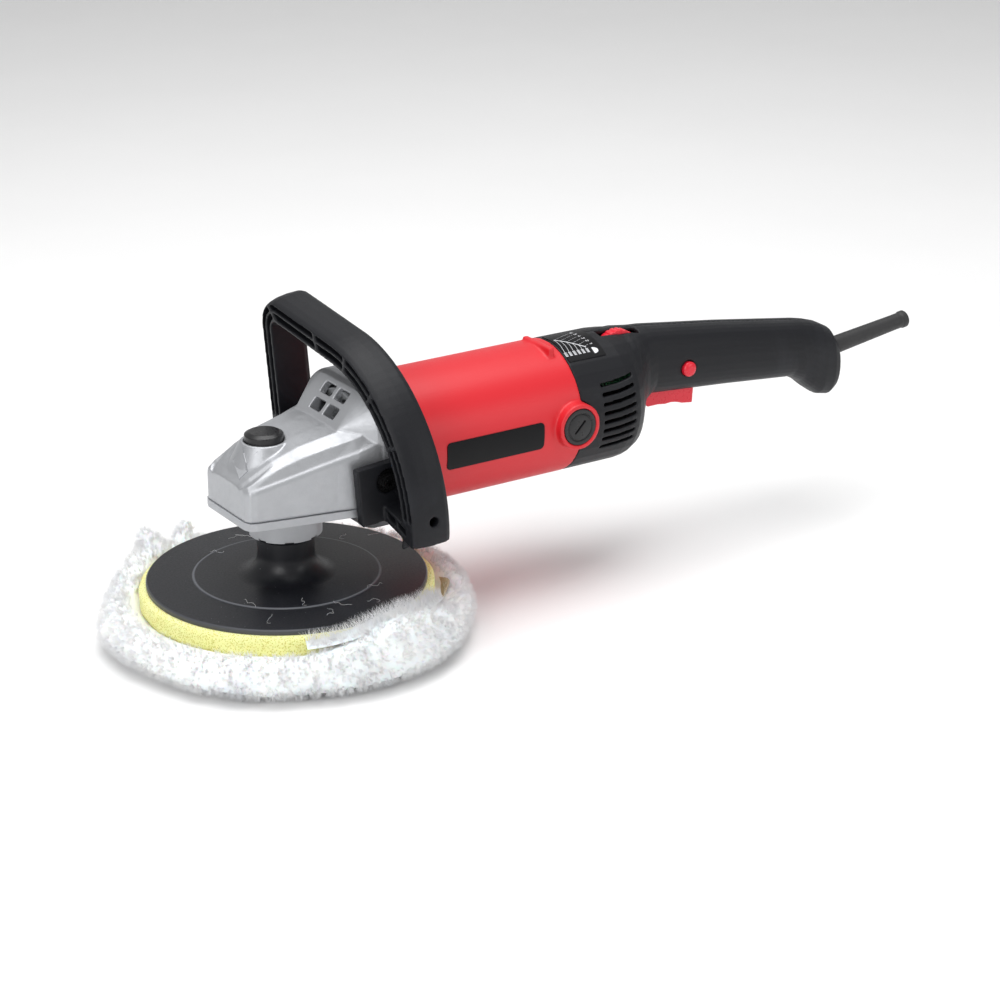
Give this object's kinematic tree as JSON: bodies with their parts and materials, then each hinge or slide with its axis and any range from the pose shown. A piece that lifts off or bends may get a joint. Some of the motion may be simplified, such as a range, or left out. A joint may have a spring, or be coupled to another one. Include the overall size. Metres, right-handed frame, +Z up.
{
  "type": "rotary polisher",
  "caption": "Corded rotary polisher: red motor barrel, silver right-angle gear head, black loop and switch handles, backing pad with foam and a fluffy wool bonnet.",
  "frame": {"origin": "on the spindle's axis, in the flat underside of the wool bonnet, which is the face put on the car's paint", "axes": "+Z up along the spindle, +X from the gear head towards the switch handle and the mains lead's inlet, -Y the side with the lock-on button"},
  "size_m": [0.6316, 0.242, 0.2006],
  "materials": {
    "wool": "long white wool pile",
    "bonnet_cloth": "woven cloth back",
    "yellow_foam": "open-cell foam",
    "black_moulding": "fine satin texture",
    "zinc_steel": "bright zinc",
    "bearing_steel": "ground",
    "gear_steel": "hardened, oiled",
    "spring_steel": "drawn wire",
    "felt": "pressed felt",
    "bronze": "sintered bronze",
    "silver_paint": "silver paint on a die casting",
    "cast_aluminium": "as cast",
    "black_plastic": "smooth",
    "core_steel": "stacked laminations",
    "copper": "enamelled wire and bars",
    "red_nylon": "satin moulded nylon",
    "brass_sheet": "drawn sheet",
    "carbon": "pressed carbon",
    "black_label": "printed film",
    "silver_label": "printed film",
    "handle_black": "fine spark-eroded texture",
    "black_steel": "black oxide",
    "circuit_board": "glass-fibre laminate",
    "capacitor_shell": "potted",
    "red_plastic": "smooth",
    "black_rubber": "matt"
  },
  "bodies": {
    "machine": {"gear_head": "silver_paint", "bearing_flange": "silver_paint", "flange_screws": "zinc_steel", "spindle_bearing_outer": "bearing_steel", "bearing_retainer": "bearing_steel", "felt_seal": "felt", "spindle_bush": "bronze", "spindle_lock_spring": "spring_steel", "front_bearing_plate": "cast_aluminium", "front_bearing_outer": "bearing_steel", "fan_baffle": "black_moulding", "motor_housing": "red_nylon", "housing_screws": "zinc_steel", "stator_core": "core_steel", "stator_windings": "copper", "stator_screws": "spring_steel", "brush_holders": "brass_sheet", "carbon_brushes": "carbon", "brush_springs": "spring_steel", "brush_caps": "black_plastic", "name_plate": "black_label", "rating_plate": "silver_label", "rear_bearing_outer": "bearing_steel", "rear_bearing_boot": "black_rubber", "handle_shell_right": "handle_black", "handle_shell_left": "handle_black", "handle_screws": "black_steel", "speed_chart": "black_label", "switch_body": "black_moulding", "speed_module": "circuit_board", "suppression_capacitor": "capacitor_shell", "trigger_pin": "zinc_steel", "trigger_spring": "spring_steel", "lock_on_spring": "spring_steel", "strain_relief": "black_rubber", "cord_clamp": "black_moulding", "loop_handle": "handle_black", "loop_bolts": "black_steel", "loop_washers": "zinc_steel"},
    "spindle": {"spindle": "bearing_steel", "ring_gear": "gear_steel", "spindle_bearing_inner": "bearing_steel", "pad_nut": "zinc_steel", "backing_pad": "black_moulding", "foam_pad": "yellow_foam", "bonnet_backing": "bonnet_cloth", "wool_bonnet": "wool"},
    "armature": {"armature_shaft": "bearing_steel", "pinion_gear": "gear_steel", "front_bearing_inner": "bearing_steel", "cooling_fan": "black_moulding", "armature_core": "core_steel", "armature_windings": "copper", "commutator": "copper", "rear_bearing_inner": "bearing_steel"},
    "spindle_lock": {"spindle_lock_button": "black_plastic", "spindle_lock_pin": "zinc_steel"},
    "trigger": {"trigger": "red_plastic"},
    "lock_on_button": {"lock_on_button": "red_plastic"},
    "speed_dial": {"speed_dial": "red_plastic"}
  },
  "joints": [
    {"name": "spindle_turn", "type": "hinge", "parent": "machine", "child": "spindle", "pos_m": [0, 0, 0.0805], "axis": [0, 0, 1], "continuous": true},
    {"name": "armature_turn", "type": "hinge", "parent": "machine", "child": "armature", "pos_m": [0.12, 0, 0.1155], "axis": [1, 0, 0], "continuous": true},
    {"name": "spindle_lock_press", "type": "slide", "parent": "machine", "child": "spindle_lock", "axis": [0, 0, -1], "range_m": [0, 0.0045], "stiffness_N_per_m": 900, "springref_m": -0.002, "deforming": ["spindle_lock_spring"]},
    {"name": "trigger_squeeze", "type": "hinge", "parent": "machine", "child": "trigger", "pos_m": [0.312, 0, 0.1114], "axis": [0, 1, 0], "range_deg": [0, 8], "stiffness_Nm_per_rad": 1.5, "springref_deg": -8.59, "deforming": ["trigger_spring"]},
    {"name": "lock_on_press", "type": "slide", "parent": "machine", "child": "lock_on_button", "axis": [0, 1, 0], "range_m": [0, 0.0025], "stiffness_N_per_m": 400, "springref_m": -0.001, "deforming": ["lock_on_spring"]},
    {"name": "speed_dial_turn", "type": "hinge", "parent": "machine", "child": "speed_dial", "pos_m": [0.252, -0.0055, 0.1449], "axis": [0, 1, 0], "range_deg": [0, 250]}
  ],
  "couplings": [
    {"joint": "armature_turn", "follows": "spindle_turn", "ratio": 4}
  ]
}
